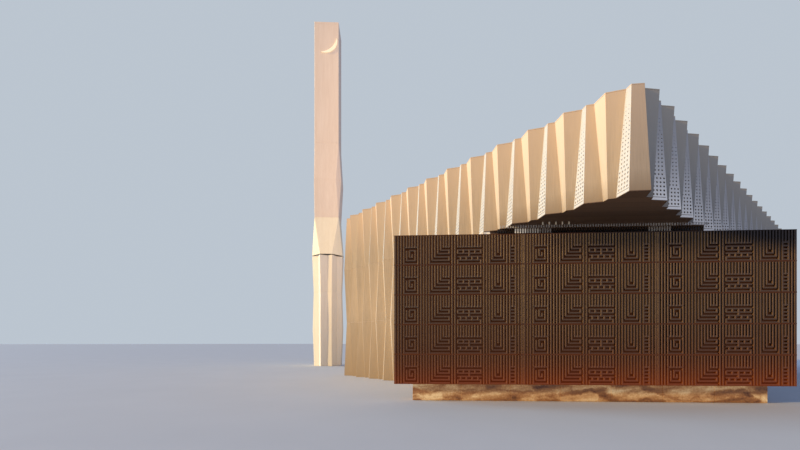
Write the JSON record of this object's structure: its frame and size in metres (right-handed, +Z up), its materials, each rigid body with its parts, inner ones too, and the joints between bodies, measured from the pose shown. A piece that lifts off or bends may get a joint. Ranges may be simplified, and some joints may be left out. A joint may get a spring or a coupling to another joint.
{
  "type": "mosque",
  "caption": "Mosque with a folded prayer hall, a cut-away prow over a glazed entrance, a fretwork street screen on a lit stone plinth and a free-standing folded minaret.",
  "frame": {"origin": "middle of the hall's footprint, on the underside of its floor slab, at ground level", "axes": "+Z up, -Y out of the front wall, +X out of the right wall; the prow is the corner at +X, -Y"},
  "size_m": [27.6203, 26.1247, 26.65],
  "materials": {
    "folded_panel": "matte",
    "floor_stone": "satin",
    "roof_finish": "matte",
    "dark_soffit": "satin",
    "dark_frame": "satin",
    "tinted_glass": "polished",
    "dark_bronze": "satin",
    "amber_stone": "polished",
    "minaret_panel": "matte",
    "crescent": "satin"
  },
  "bodies": {
    "root": {"front_wall_1": "folded_panel", "front_wall_2": "folded_panel", "front_wall_3": "folded_panel", "front_wall_4": "folded_panel", "right_wall_1": "folded_panel", "right_wall_2": "folded_panel", "right_wall_3": "folded_panel", "right_wall_4": "folded_panel", "right_wall_5": "folded_panel", "right_wall_6": "folded_panel", "back_wall_1": "folded_panel", "back_wall_2": "folded_panel", "left_wall_1": "folded_panel", "left_wall_2": "folded_panel", "left_wall_3": "folded_panel", "corner_prow": "folded_panel", "corner_right_back": "folded_panel", "corner_left_back": "folded_panel", "corner_left_front": "folded_panel", "floor_slab": "floor_stone", "roof_slab": "roof_finish", "soffit": "dark_soffit", "prow_beam": "folded_panel", "entrance_frame": "dark_frame", "entrance_glass": "tinted_glass", "screen_panel_1": "dark_bronze", "screen_panel_2": "dark_bronze", "screen_panel_3": "dark_bronze", "screen_post_1": "dark_frame", "screen_post_2": "dark_frame", "screen_post_3": "dark_frame", "screen_post_4": "dark_frame", "screen_plinth": "amber_stone", "minaret_tier_1": "minaret_panel", "minaret_tier_2": "minaret_panel", "minaret_tier_3": "minaret_panel", "minaret_tier_4": "minaret_panel", "minaret_tier_5": "minaret_panel", "minaret_tier_6": "minaret_panel", "minaret_shaft": "minaret_panel", "minaret_cap": "minaret_panel", "minaret_crescent": "crescent"}
  },
  "joints": []
}
